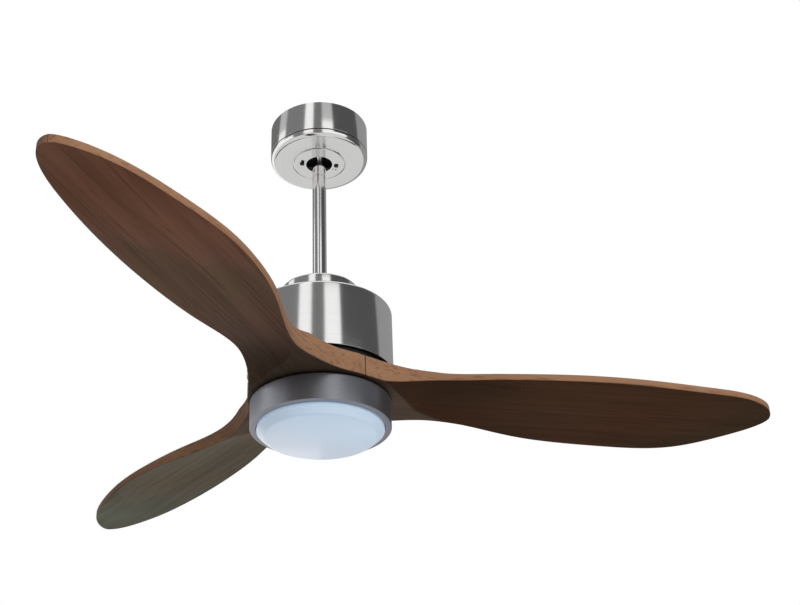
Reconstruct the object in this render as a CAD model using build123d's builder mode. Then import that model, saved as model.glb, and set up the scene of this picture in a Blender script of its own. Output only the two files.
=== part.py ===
from build123d import *
import math
import os

# Ceiling fan with light: three carved wooden blades, outer-rotor motor, LED lamp below.
# Millimetres. Origin: centre of the ceiling plane under the outlet box, +Z up, blade_1 along +X.

os.makedirs("parts", exist_ok=True)

# ---- clearances ----
rest_gap = 0.3          # between bodies that lie on each other
slip_fit = 0.1          # rod in coupling, hub on shaft, coils on teeth
air_gap = 0.8           # stator to magnets
bell_gap = 14           # motor housing to rotor bell, room for the rim and its screws
run_gap = 1.5           # turning wood to the fixed lamp plate
screw_clear = 0.3       # hole radius over screw radius
sheet = 1.2             # spun and stamped sheet

# ---- overall ----
tip_radius = 662
blade_count = 3
blade_pitch = 360 / blade_count

# ---- canopy and hanger ----
canopy_r = 76
canopy_height = 61
canopy_floor_r = 68
canopy_groove_z = -50.5
canopy_groove_width = 2
canopy_groove_depth = 1.2
cover_r = 40
cover_thick = 1.5
cover_hole_r = 20.6
canopy_screw_x = 27
canopy_screw_r = 2
canopy_screw_head_r = 3.6
ball_r = 24
ball_z = -32
ball_top = 18           # flat above the ball centre
ball_groove_width = 5
ball_groove_r = 20      # groove floor radius about the tilt axis
bracket_plate = 2.5
bracket_half_y = 22.5
bracket_leg_x = 30      # inner face of a leg
bracket_half_x = 55
cradle_top = 13.5       # below the ball centre
cradle_thick = 3.5
box_slot_x = 41
box_slot_travel = 9.5
box_screw_r = 2.1

# ---- downrod and coupling ----
rod_r = 10.65
rod_wall = 2.3
rod_top = ball_z + 20
cap_r = 58
cap_height = 42
cap_top_z = -295
housing_top_z = cap_top_z - cap_height
collar_r = 16
collar_top_z = cap_top_z - 6
rod_engaged = 22
rod_bottom = collar_top_z - rod_engaged
flange_r = 44
flange_thick = 5
flange_screw_r = 2
flange_screw_angles = (30, 150, 270)
pin_r = 3
coupling_pin_z = collar_top_z - 10

# ---- motor ----
housing_r = 106
housing_height = 101
housing_bottom_z = housing_top_z - housing_height
shaft_r = 8.5
shaft_bore_r = 5.5
bearing_r = 17.5
bearing_width = 10
bearing_inner_r = 11.3
bearing_shield_r = 11.6
bell_r = housing_r - bell_gap
bell_wall = 4
bell_top_z = housing_top_z - 26
rim_width = 7
rotor_rim_r = bell_r + rim_width
rotor_rim_thick = 3
rim_screw_r = 1.5
rim_screw_count = 6
rotor_base_thick = 8
magnet_wall = 5.5
stack_height = 36
magnet_height = stack_height + 4
tooth_count = 12
tooth_width = 9
coil_build = 5.5

# ---- blades ----
wood_thick = 30
seam_r = 105            # rim of the hub where two blades meet
seam_gap = 0.3
hub_hole_r = 26
clamp_r = 60
clamp_thick = 3
clamp_recess = 8
blade_screw_ring_r = 45
blade_screw_spread = 35  # degrees either side of the blade axis
blade_screw_r = 2.5

# ---- lamp ----
lamp_r = 101
lamp_height = 41
lamp_wall = 1.5
lamp_plate_r = 70
lamp_plate_thick = 2.5
plate_slot_ring_r = 42
pan_screw_ring_r = 55
pan_screw_r = 1.8
pan_screw_angles = (60, 180, 300)
pan_hole_r = 20         # wires and shaft nut
board_r = 82
board_thick = 1.6
spacer_r = 4
spacer_ring_r = board_r - 2 * spacer_r
spacer_height = 21.8
spacer_angles = (45, 135, 225, 315)
board_screw_r = 1.5
led_size = 3.5
led_height = 0.9
led_ring_step = board_r / 4
driver_width = 32
driver_length = 68
driver_height = 18
diffuser_r = 91
diffuser_wall = 2
diffuser_side = 12.5
diffuser_edge_r = 80
diffuser_crown = 5
lug_count = 3
lug_arc = 24
lug_reach = 4.2
lug_thick = 3.5
twist_to_release = 25   # degrees from locked to free

# ---- heights that follow ----
floor_z = -canopy_height
cover_z = floor_z - cover_thick
cradle_z = ball_z - cradle_top
bell_bottom_z = housing_bottom_z
wood_top_z = housing_bottom_z - rotor_base_thick
wood_bottom_z = wood_top_z - wood_thick
lamp_plate_top_z = wood_bottom_z - run_gap
lamp_top_z = lamp_plate_top_z - lamp_plate_thick
lamp_bottom_z = lamp_top_z - lamp_height
shaft_bottom_z = lamp_top_z - 11
shaft_top_z = rod_bottom - 2
stack_mid_z = (bell_top_z + bell_bottom_z) / 2
stator_r = bell_r - bell_wall - magnet_wall - air_gap


def keep(builder, name):
    """Label a finished piece and write its STEP file."""
    builder.part.label = name
    export_step(builder.part, f"parts/{name}.step")


def ring_profile(inner, outer, low, high):
    """Rectangle in the XZ plane between two radii and two heights."""
    with Locations(((inner + outer) / 2, (low + high) / 2)):
        Rectangle(outer - inner, high - low)


def screw(head_r, head_h, shank_r, length):
    """Pan-head screw hanging head down, its bearing face at the local origin."""
    with BuildPart(mode=Mode.PRIVATE) as one:
        with BuildSketch(Plane.XZ):
            with BuildLine():
                Polyline((0, length), (shank_r, length), (shank_r, 0), (head_r, 0), (head_r, -head_h * 0.6),
                         (head_r * 0.6, -head_h), (0, -head_h), close=True)
            make_face()
        revolve(axis=Axis.Z)
    return one.part


def screws_at(places, head_r, head_h, shank_r, length, flip=False):
    """The same screw at every place, heads down or, flipped, heads up."""
    one = screw(head_r, head_h, shank_r, length)
    turned = one.rotate(Axis.X, 180) if flip else one
    with BuildPart() as group:
        with Locations(*places):
            add(turned)
    return group


def on_ring(radius, angles, height):
    """Points on a circle about the fan's axis."""
    return [(radius * math.cos(math.radians(a)), radius * math.sin(math.radians(a)), height) for a in angles]


# ======== fixed to the ceiling ========

# hanger bracket: one stamped strip, folded twice, with a dished seat open to -Y for the ball
with BuildPart() as hanger_bracket:
    with BuildSketch(Plane.XY.offset(-bracket_plate)):
        Rectangle(2 * bracket_half_x, 2 * bracket_half_y)
        fillet(vertices(), 8)
        Circle(10, mode=Mode.SUBTRACT)
        with Locations((box_slot_x, 0), (-box_slot_x, 0)):
            SlotCenterToCenter(box_slot_travel, 2 * (box_screw_r + screw_clear), mode=Mode.SUBTRACT)
    extrude(amount=bracket_plate)
    leg_height = -bracket_plate - (cradle_z - cradle_thick)
    with BuildSketch(Plane.XY.offset(cradle_z - cradle_thick)):
        with Locations((bracket_leg_x + bracket_plate / 2, 0), (-bracket_leg_x - bracket_plate / 2, 0)):
            Rectangle(bracket_plate, 2 * bracket_half_y - 6)
    extrude(amount=leg_height)
    with BuildSketch(Plane.XY.offset(cradle_z - cradle_thick)):
        Rectangle(2 * (bracket_leg_x + bracket_plate), 2 * bracket_half_y + 6)
        fillet(vertices(), 6)
    extrude(amount=cradle_thick)
    # spherical seat, then the side opening that lets the rod in
    with Locations((0, 0, ball_z)):
        Sphere(ball_r + rest_gap, mode=Mode.SUBTRACT)
    with BuildSketch(Plane.XY.offset(cradle_z - cradle_thick)):
        with Locations((0, -bracket_half_y)):
            Rectangle(2 * rod_r + 3, 2 * bracket_half_y)
    extrude(amount=cradle_thick, mode=Mode.SUBTRACT)
    # tab that keys the groove of the ball
    with BuildSketch(Plane.XY.offset(cradle_z)):
        with Locations((0, ball_groove_r + 1 + 1.25)):
            Rectangle(ball_groove_width - 1, 2.5)
    extrude(amount=cradle_top - 2)
    with Locations((canopy_screw_x, 0, cradle_z), (-canopy_screw_x, 0, cradle_z)):
        Hole(canopy_screw_r)
keep(hanger_bracket, "hanger_bracket")

# terminal block clipped under the bracket
block_depth = 9
block_length = 30
block_height = 7.5
block_y = bracket_half_y - block_depth / 2 - 0.5
with BuildPart() as terminal_block:
    with BuildSketch(Plane.XY.offset(-bracket_plate - block_height)):
        with Locations((0, block_y)):
            Rectangle(block_length, block_depth)
    extrude(amount=block_height)
    with GridLocations(9, 1, 3, 1):
        with Locations((0, block_y, -bracket_plate - block_height)):
            Cylinder(1.8, 5, mode=Mode.SUBTRACT)
keep(terminal_block, "terminal_block")

# canopy: spun cup with a pressed groove and a rounded foot
rim_radius = canopy_r - canopy_floor_r
with BuildPart() as canopy:
    with BuildSketch(Plane.XZ):
        with BuildLine():
            groove_top = canopy_groove_z + canopy_groove_width / 2
            groove_low = canopy_groove_z - canopy_groove_width / 2
            groove_r = canopy_r - canopy_groove_depth
            Polyline((canopy_r, 0), (canopy_r, groove_top), (groove_r, groove_top), (groove_r, groove_low),
                     (canopy_r, groove_low))
            RadiusArc((canopy_r, groove_low), (canopy_floor_r, floor_z), rim_radius + 1)
            Polyline((canopy_floor_r, floor_z), (cover_hole_r + 1.4, floor_z),
                     (cover_hole_r + 1.4, floor_z + sheet), (canopy_floor_r - 1, floor_z + sheet))
            RadiusArc((canopy_floor_r - 1, floor_z + sheet), (groove_r - sheet, groove_low), -rim_radius)
            Polyline((groove_r - sheet, groove_low), (groove_r - sheet, groove_top + sheet),
                     (canopy_r - sheet, groove_top + sheet), (canopy_r - sheet, 0), (canopy_r, 0))
        make_face()
    revolve(axis=Axis.Z)
    with Locations((canopy_screw_x, 0, floor_z + sheet), (-canopy_screw_x, 0, floor_z + sheet)):
        Hole(canopy_screw_r + screw_clear)
keep(canopy, "canopy")

# cover: shallow disc with two keyholes that turn onto the canopy screws
keyhole_turn = 18
with BuildPart() as canopy_cover:
    with BuildSketch(Plane.XY.offset(cover_z)):
        Circle(cover_r)
        Circle(cover_hole_r, mode=Mode.SUBTRACT)
        for start in (0, 180):
            SlotArc(CenterArc((0, 0), canopy_screw_x, start, keyhole_turn), 2 * (canopy_screw_r + screw_clear),
                    mode=Mode.SUBTRACT)
            with PolarLocations(canopy_screw_x, 1, start_angle=start + keyhole_turn):
                Circle(canopy_screw_head_r + 2 * screw_clear, mode=Mode.SUBTRACT)
    extrude(amount=cover_thick)
    outer_edge = canopy_cover.edges().filter_by(GeomType.CIRCLE).group_by(Axis.Z)[0].sort_by(SortBy.RADIUS)[-1]
    fillet(outer_edge, 0.8)
keep(canopy_cover, "canopy_cover")

canopy_screw_places = [(canopy_screw_x, 0, cover_z), (-canopy_screw_x, 0, cover_z)]
canopy_screws = screws_at(canopy_screw_places, canopy_screw_head_r, 2.2, canopy_screw_r, cradle_z - cover_z + 1)
keep(canopy_screws, "canopy_screws")

# ======== hanging on the ball ========

pin_half_length = 14
ball_screw_z = ball_z - 7
set_screw_r = 2.5
with BuildPart() as hanger_ball:
    with Locations((0, 0, ball_z)):
        Sphere(ball_r)
    split(bisect_by=Plane.XY.offset(ball_z + ball_top), keep=Keep.BOTTOM)
    with Locations((0, 0, ball_z)):
        Cylinder(rod_r + slip_fit, 3 * ball_r, mode=Mode.SUBTRACT)
    # channel that drops over the cross pin
    with BuildSketch(Plane.XY.offset(ball_z - pin_r)):
        Rectangle(2 * (pin_half_length + screw_clear), 2 * (pin_r + screw_clear))
    extrude(amount=ball_r, mode=Mode.SUBTRACT)
    # groove about the tilt axis, keyed by the bracket's tab
    with BuildSketch(Plane.YZ.offset(-ball_groove_width / 2)):
        with Locations((0, ball_z)):
            Circle(ball_r + 2)
            Circle(ball_groove_r, mode=Mode.SUBTRACT)
        with Locations((-ball_r, ball_z)):
            Rectangle(2 * ball_r + 18, 3 * ball_r, mode=Mode.SUBTRACT)
    extrude(amount=ball_groove_width, mode=Mode.SUBTRACT)
    with BuildSketch(Plane.XZ.offset(rod_r)):
        with Locations((0, ball_screw_z)):
            Circle(set_screw_r)
    extrude(amount=ball_r, mode=Mode.SUBTRACT)
keep(hanger_ball, "hanger_ball")

with BuildPart() as ball_set_screw:
    with BuildSketch(Plane.XZ.offset(rod_r)):
        with Locations((0, ball_screw_z)):
            Circle(set_screw_r)
            RegularPolygon(1.3, 6, mode=Mode.SUBTRACT)
    extrude(amount=9)
keep(ball_set_screw, "ball_set_screw")

with BuildPart() as cross_pin:
    with BuildSketch(Plane.YZ.offset(-pin_half_length)):
        with Locations((0, ball_z)):
            Circle(pin_r)
    extrude(amount=2 * pin_half_length)
    chamfer(cross_pin.edges().filter_by(GeomType.CIRCLE), 0.6)
keep(cross_pin, "cross_pin")

with BuildPart() as downrod:
    with BuildSketch(Plane.XY.offset(rod_bottom)):
        Circle(rod_r)
        Circle(rod_r - rod_wall, mode=Mode.SUBTRACT)
    extrude(amount=rod_top - rod_bottom)
    with BuildSketch(Plane.YZ.offset(-2 * rod_r)):
        with Locations((0, ball_z), (0, coupling_pin_z)):
            Circle(pin_r)
    extrude(amount=4 * rod_r, mode=Mode.SUBTRACT)
keep(downrod, "downrod")

# coupling: collar for the rod above, flange for the motor below
flange_screw_ring_r = flange_r - 10
with BuildPart() as motor_coupling:
    flange_top = housing_top_z - sheet
    with BuildSketch(Plane.XZ):
        with BuildLine():
            Polyline((rod_r + slip_fit, collar_top_z), (collar_r - 1, collar_top_z),
                     (collar_r, collar_top_z - 1), (collar_r, flange_top), (flange_r, flange_top),
                     (flange_r, flange_top - flange_thick), (shaft_r, flange_top - flange_thick),
                     (shaft_r, rod_bottom - 1), (rod_r + slip_fit, rod_bottom - 1),
                     (rod_r + slip_fit, collar_top_z))
        make_face()
    revolve(axis=Axis.Z)
    with BuildSketch(Plane.YZ.offset(-2 * collar_r)):
        with Locations((0, coupling_pin_z)):
            Circle(pin_r)
    extrude(amount=4 * collar_r, mode=Mode.SUBTRACT)
    with BuildSketch(Plane.XZ.offset(-2 * collar_r)):
        with Locations((0, coupling_pin_z)):
            Circle(set_screw_r)
    extrude(amount=4 * collar_r, mode=Mode.SUBTRACT)
    with Locations(*on_ring(flange_screw_ring_r, flange_screw_angles, flange_top)):
        Hole(flange_screw_r)
keep(motor_coupling, "motor_coupling")

pin_half = collar_r + 5
clip_x = collar_r + 2.5
with BuildPart() as coupling_pin:
    with BuildSketch(Plane.YZ.offset(-pin_half + 2)):
        with Locations((0, coupling_pin_z)):
            Circle(pin_r)
    extrude(amount=2 * pin_half - 2)
    with BuildSketch(Plane.YZ.offset(-pin_half)):
        with Locations((0, coupling_pin_z)):
            Circle(pin_r + 1.5)
    extrude(amount=2)
    with Locations((clip_x, 0, coupling_pin_z)):
        Cylinder(1, 4 * pin_r, mode=Mode.SUBTRACT)
keep(coupling_pin, "coupling_pin")

# hairpin clip: one leg through the pin, the other bowed over it
wire_r = 0.8
with BuildPart() as cotter_clip:
    with BuildLine(Plane((clip_x, 0, coupling_pin_z), x_dir=(0, 1, 0), z_dir=(1, 0, 0))) as clip_path:
        Line((0, -9), (0, 7))
        ThreePointArc((0, 7), (2.5, 9.5), (5, 7))
        Line((5, 7), (5, -7))
    with BuildSketch(Plane((clip_x, 0, coupling_pin_z - 9), z_dir=(0, 0, 1))):
        Circle(wire_r)
    sweep(path=clip_path.wires()[0])
keep(cotter_clip, "cotter_clip")

with BuildPart() as coupling_set_screws:
    for side in (1, -1):
        with BuildSketch(Plane.XZ.offset(side * rod_r)):
            with Locations((0, coupling_pin_z)):
                Circle(set_screw_r)
                RegularPolygon(1.3, 6, mode=Mode.SUBTRACT)
        extrude(amount=side * 6.5)
keep(coupling_set_screws, "coupling_set_screws")

# cap over the coupling: drawn cup, mouth down on the housing
with BuildPart() as coupling_cover:
    with BuildSketch(Plane.XZ):
        with BuildLine():
            edge = 4
            Polyline((rod_r + 0.6, cap_top_z), (cap_r - edge, cap_top_z))
            RadiusArc((cap_r - edge, cap_top_z), (cap_r, cap_top_z - edge), edge)
            Polyline((cap_r, cap_top_z - edge), (cap_r, housing_top_z), (cap_r - sheet, housing_top_z),
                     (cap_r - sheet, cap_top_z - edge))
            RadiusArc((cap_r - sheet, cap_top_z - edge), (cap_r - edge, cap_top_z - sheet), -(edge - sheet))
            Polyline((cap_r - edge, cap_top_z - sheet), (rod_r + 0.6, cap_top_z - sheet),
                     (rod_r + 0.6, cap_top_z))
        make_face()
    revolve(axis=Axis.Z)
keep(coupling_cover, "coupling_cover")

# motor housing: deep drawn drum, open below, with a rolled lip
housing_screw_places = on_ring(flange_screw_ring_r, flange_screw_angles, housing_top_z)
with BuildPart() as motor_housing:
    with BuildSketch(Plane.XZ):
        with BuildLine():
            edge = 5
            lip = 2.5
            Polyline((collar_r + 1, housing_top_z), (housing_r - edge, housing_top_z))
            RadiusArc((housing_r - edge, housing_top_z), (housing_r, housing_top_z - edge), edge)
            Polyline((housing_r, housing_top_z - edge), (housing_r, housing_bottom_z),
                     (housing_r - lip, housing_bottom_z), (housing_r - lip, housing_bottom_z + 1),
                     (housing_r - sheet, housing_bottom_z + 1), (housing_r - sheet, housing_top_z - edge))
            RadiusArc((housing_r - sheet, housing_top_z - edge), (housing_r - edge, housing_top_z - sheet),
                      -(edge - sheet))
            Polyline((housing_r - edge, housing_top_z - sheet), (collar_r + 1, housing_top_z - sheet),
                     (collar_r + 1, housing_top_z))
        make_face()
    revolve(axis=Axis.Z)
    with Locations(*housing_screw_places):
        Hole(flange_screw_r + screw_clear)
keep(motor_housing, "motor_housing")

housing_screws = screws_at(housing_screw_places, 3.8, 2.4, flange_screw_r, 6, flip=True)
keep(housing_screws, "housing_screws")

with BuildPart() as motor_shaft:
    with BuildSketch(Plane.XY.offset(shaft_bottom_z)):
        Circle(shaft_r)
        Circle(shaft_bore_r, mode=Mode.SUBTRACT)
    extrude(amount=shaft_top_z - shaft_bottom_z)
keep(motor_shaft, "motor_shaft")

# stator: laminated hub and teeth with pole shoes
hub_r = stator_r / 2 + 3
shoe_r = stator_r - 5.5
with BuildPart() as stator_core:
    with BuildSketch(Plane.XY.offset(stack_mid_z - stack_height / 2)):
        Circle(hub_r)
        with PolarLocations((hub_r + shoe_r) / 2 - 1, tooth_count):
            Rectangle(shoe_r - hub_r + 6, tooth_width)
        with BuildSketch(mode=Mode.PRIVATE) as shoes:
            Circle(stator_r)
            Circle(shoe_r, mode=Mode.SUBTRACT)
            with PolarLocations(stator_r, tooth_count, start_angle=180 / tooth_count):
                Rectangle(30, 5, mode=Mode.SUBTRACT)
        add(shoes.sketch)
        Circle(shaft_r, mode=Mode.SUBTRACT)
        with PolarLocations(25, 6):
            Circle(8, mode=Mode.SUBTRACT)
    extrude(amount=stack_height)
keep(stator_core, "stator_core")

# one coil round each tooth
coil_length = shoe_r - hub_r - 5
coil_mid = (shoe_r + hub_r) / 2
coil_width = tooth_width + 2 * coil_build + 2 * slip_fit
coil_height = stack_height + 2 * coil_build + 2 * slip_fit
with BuildPart() as stator_windings:
    with PolarLocations(coil_mid, tooth_count):
        with Locations((0, 0, stack_mid_z)):
            Box(coil_length, coil_width, coil_height)
    with PolarLocations(coil_mid, tooth_count):
        with Locations((0, 0, stack_mid_z)):
            Box(coil_length + 2, tooth_width + 2 * slip_fit, stack_height + 2 * slip_fit, mode=Mode.SUBTRACT)
keep(stator_windings, "stator_windings")


def bearing_rings(top, name):
    """Shielded ball bearing: inner ring for the shaft, outer ring with its shields."""
    low = top - bearing_width
    with BuildPart() as inner_ring:
        with BuildSketch(Plane.XZ):
            ring_profile(shaft_r, bearing_inner_r, low, top)
            with Locations(((bearing_inner_r + bearing_r) / 2 - 1.5, (low + top) / 2)):
                Circle(2.4, mode=Mode.SUBTRACT)
        revolve(axis=Axis.Z)
    with BuildPart() as outer_ring:
        with BuildSketch(Plane.XZ):
            ring_profile(bearing_shield_r, bearing_r, low, top)
            with Locations(((bearing_shield_r + bearing_r - 3) / 2 - 1, (low + top) / 2)):
                Rectangle(bearing_r - 3 - bearing_shield_r + 2, bearing_width - 1.6, mode=Mode.SUBTRACT)
        revolve(axis=Axis.Z)
    keep(inner_ring, name + "_bearing_inner")
    keep(outer_ring, name + "_bearing_outer")


upper_bearing_top = bell_top_z - 1
lower_bearing_top = wood_top_z + 2 + bearing_width
bearing_rings(upper_bearing_top, "upper")
bearing_rings(lower_bearing_top, "lower")

# ======== turning with the rotor ========

seat_wall = 4.5
lip_r = bearing_r - 3.5
vent_ring_r = (bearing_r + bell_r) / 2
vent_r = 9
vent_angles = [60 * k for k in range(6)]
rim_screw_angles = [360 / rim_screw_count * (k + 0.5) for k in range(rim_screw_count)]
rim_screw_places = on_ring(bell_r + rim_width / 2, rim_screw_angles, bell_bottom_z + rotor_rim_thick)
with BuildPart() as rotor_bell:
    with BuildSketch(Plane.XZ):
        with BuildLine():
            seat_low = upper_bearing_top - bearing_width
            Polyline((lip_r, bell_top_z), (bell_r - 6, bell_top_z))
            RadiusArc((bell_r - 6, bell_top_z), (bell_r, bell_top_z - 6), 6)
            Polyline((bell_r, bell_top_z - 6), (bell_r, bell_bottom_z + rotor_rim_thick),
                     (rotor_rim_r, bell_bottom_z + rotor_rim_thick), (rotor_rim_r, bell_bottom_z),
                     (bell_r - bell_wall, bell_bottom_z), (bell_r - bell_wall, bell_top_z - bell_wall),
                     (bearing_r + seat_wall, bell_top_z - bell_wall), (bearing_r + seat_wall, seat_low),
                     (bearing_r, seat_low), (bearing_r, upper_bearing_top), (lip_r, upper_bearing_top),
                     (lip_r, bell_top_z))
        make_face()
    revolve(axis=Axis.Z)
    with Locations(*on_ring(vent_ring_r, vent_angles, bell_top_z)):
        Hole(vent_r, depth=bell_wall)
    with Locations(*rim_screw_places):
        Hole(rim_screw_r, depth=rotor_rim_thick)
keep(rotor_bell, "rotor_bell")

# cast base: carries the lower bearing and the blades
blade_screw_offsets = (-blade_screw_spread, 0, blade_screw_spread)
blade_screw_angles = [blade_pitch * k + s for k in range(blade_count) for s in blade_screw_offsets]
with BuildPart() as rotor_base:
    with BuildSketch(Plane.XZ):
        with BuildLine():
            Polyline((lip_r, wood_top_z), (rotor_rim_r, wood_top_z), (rotor_rim_r, bell_bottom_z),
                     (bearing_r + seat_wall, bell_bottom_z), (bearing_r + seat_wall, lower_bearing_top),
                     (bearing_r, lower_bearing_top), (bearing_r, lower_bearing_top - bearing_width),
                     (lip_r, lower_bearing_top - bearing_width), (lip_r, wood_top_z))
        make_face()
    revolve(axis=Axis.Z)
    with Locations(*on_ring(blade_screw_ring_r, blade_screw_angles, bell_bottom_z)):
        Hole(blade_screw_r)
    with Locations(*rim_screw_places):
        Hole(rim_screw_r)
keep(rotor_base, "rotor_base")

bell_screws = screws_at(rim_screw_places, 2.8, 1.8, rim_screw_r, 8, flip=True)
keep(bell_screws, "bell_screws")

with BuildPart() as magnet_ring:
    with BuildSketch(Plane.XY.offset(stack_mid_z - magnet_height / 2)):
        Circle(bell_r - bell_wall)
        Circle(bell_r - bell_wall - magnet_wall, mode=Mode.SUBTRACT)
    extrude(amount=magnet_height)
keep(magnet_ring, "magnet_ring")


# blade: a blank cut to the blade's outline and scooped from below and above, so that it twists.
# The lead edge (clockwise side) stays at the top of the hub, the trail edge falls below its underside.
seam_x = seam_r * math.cos(math.radians(blade_pitch / 2))
seam_y = seam_r * math.sin(math.radians(blade_pitch / 2))
tip_y = -9
outline = [(seam_x, seam_y), (86, 67), (122, 52), (168, 43), (232, 53), (307, 75), (392, 87), (480, 84),
           (568, 62), (628, 30), (652, 9), (tip_radius, tip_y), (656, -27), (636, -43), (556, -63), (440, -73),
           (330, -70), (244, -60), (165, -50), (104, -64), (seam_x, -seam_y)]
# stations of a scoop: distance from the axis, then a point of the cut line (across, up) and its slope
lower_cuts = [(60, -110, 0, -0.22), (101, -45, -0.5, -0.25), (131, 2, -4, -0.28), (163, 28, -5.5, -0.295),
              (195, 46, -6.5, -0.255), (262, 62, -7.5, -0.197), (350, 83, -10, -0.164), (450, 87, -13, -0.164),
              (550, 68, -15, -0.19), (620, 37, -7, -0.185), (675, -10, 0, -0.2)]
upper_cuts = [(130, -60, 34, 0), (165, -50, 29.5, -0.06), (195, -51, 28, -0.11), (262, -63, 26, -0.13),
              (330, -70, 25, -0.147), (440, -73, 22.5, -0.157), (550, -62, 19, -0.19), (620, -52, 18, -0.185),
              (675, -30, 14, -0.2)]
# underside of the hub: flat as far as the lamp reaches, then falling away
hub_fall = [(0, 0), (108, 0), (135, -4), (200, -7), (260, -22), (700, -90)]
cut_reach = 130         # half width of a cutting block, beyond both edges
blank_drop = 20         # blank below the hub's underside
block_reach = 100       # height of the cutting blocks


def scoop(stations, away):
    """Solid on one side of a twisting surface: each section is a straight cut line, closed far away."""
    with BuildPart(mode=Mode.PRIVATE) as block:
        for place, across, up, slope in stations:
            lead_z = wood_bottom_z + up + slope * (-cut_reach - across)
            trail_z = wood_bottom_z + up + slope * (cut_reach - across)
            with BuildSketch(Plane.YZ.offset(place)):
                with BuildLine():
                    Polyline((-cut_reach, lead_z), (cut_reach, trail_z), (cut_reach, away),
                             (-cut_reach, away), close=True)
                make_face()
        loft()
    return block.part


lower_scoop = scoop(lower_cuts, wood_bottom_z - block_reach)
upper_scoop = scoop(upper_cuts, wood_top_z + block_reach)

with BuildPart() as under_hub:
    with BuildSketch(Plane.XZ):
        with BuildLine():
            fall = [(reach, wood_bottom_z + up) for reach, up in hub_fall]
            Polyline(*fall, (0, fall[-1][1]), close=True)
        make_face()
    revolve(axis=Axis.Z)


def make_blade(number):
    turn = blade_pitch * (number - 1)
    with BuildPart() as blade:
        with BuildSketch(Plane.XY.offset(wood_bottom_z - blank_drop)):
            with BuildLine():
                Line((0, 0), (seam_x, seam_y))
                Spline(*outline, tangents=((0.86, -0.5), (-0.86, -0.5)))
                Line((seam_x, -seam_y), (0, 0))
            make_face()
        extrude(amount=wood_thick + blank_drop)
        add(lower_scoop, mode=Mode.SUBTRACT)
        add(upper_scoop, mode=Mode.SUBTRACT)
        add(under_hub.part, mode=Mode.SUBTRACT)
        # seam faces stand back from the two radial planes
        for side in (1, -1):
            with BuildSketch(Plane.XY.offset(wood_bottom_z)):
                with Locations(Rotation(0, 0, side * blade_pitch / 2)):
                    Rectangle(3 * seam_r, seam_gap)
            extrude(amount=wood_thick, mode=Mode.SUBTRACT)
        with BuildSketch(Plane.XY.offset(wood_bottom_z)):
            Circle(hub_hole_r)
        extrude(amount=wood_thick, mode=Mode.SUBTRACT)
        with BuildSketch(Plane.XY.offset(wood_bottom_z)):
            Circle(clamp_r + 2)
        extrude(amount=clamp_recess, mode=Mode.SUBTRACT)
        with Locations(*on_ring(blade_screw_ring_r, blade_screw_offsets, wood_top_z)):
            Hole(blade_screw_r + screw_clear)
    with BuildPart() as turned:
        add(blade.part.rotate(Axis.Z, turn))
    return turned


for number in range(1, blade_count + 1):
    keep(make_blade(number), f"blade_{number}")

clamp_top_z = wood_bottom_z + clamp_recess
with BuildPart() as blade_clamp_plate:
    with BuildSketch(Plane.XY.offset(clamp_top_z - clamp_thick)):
        Circle(clamp_r)
        Circle(bearing_r, mode=Mode.SUBTRACT)
        with Locations(*[(x, y) for x, y, z in on_ring(blade_screw_ring_r, blade_screw_angles, 0)]):
            Circle(blade_screw_r + screw_clear, mode=Mode.SUBTRACT)
    extrude(amount=clamp_thick)
keep(blade_clamp_plate, "blade_clamp_plate")

blade_screws = screws_at(on_ring(blade_screw_ring_r, blade_screw_angles, clamp_top_z - clamp_thick),
                         4.6, 2.8, blade_screw_r, clamp_thick + wood_thick - clamp_recess + 6)
keep(blade_screws, "blade_screws")

# ======== lamp, fixed to the shaft ========

with BuildPart() as light_plate:
    with BuildSketch(Plane.XY.offset(lamp_top_z)):
        Circle(lamp_plate_r)
        Circle(shaft_r + slip_fit, mode=Mode.SUBTRACT)
        with PolarLocations(plate_slot_ring_r, 3):
            SlotCenterToCenter(12, 16, rotation=90, mode=Mode.SUBTRACT)
        with PolarLocations(pan_screw_ring_r, 3, start_angle=pan_screw_angles[0]):
            Circle(pan_screw_r, mode=Mode.SUBTRACT)
    extrude(amount=lamp_plate_thick)
keep(light_plate, "light_plate")

nut_flats_r = 12
with BuildPart() as shaft_nuts:
    for low in (lamp_plate_top_z, lamp_top_z - 6):
        with BuildSketch(Plane.XY.offset(low)):
            RegularPolygon(nut_flats_r, 6, major_radius=False)
            Circle(shaft_r, mode=Mode.SUBTRACT)
        extrude(amount=5 if low == lamp_plate_top_z else 6)
keep(shaft_nuts, "shaft_nuts")

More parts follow.
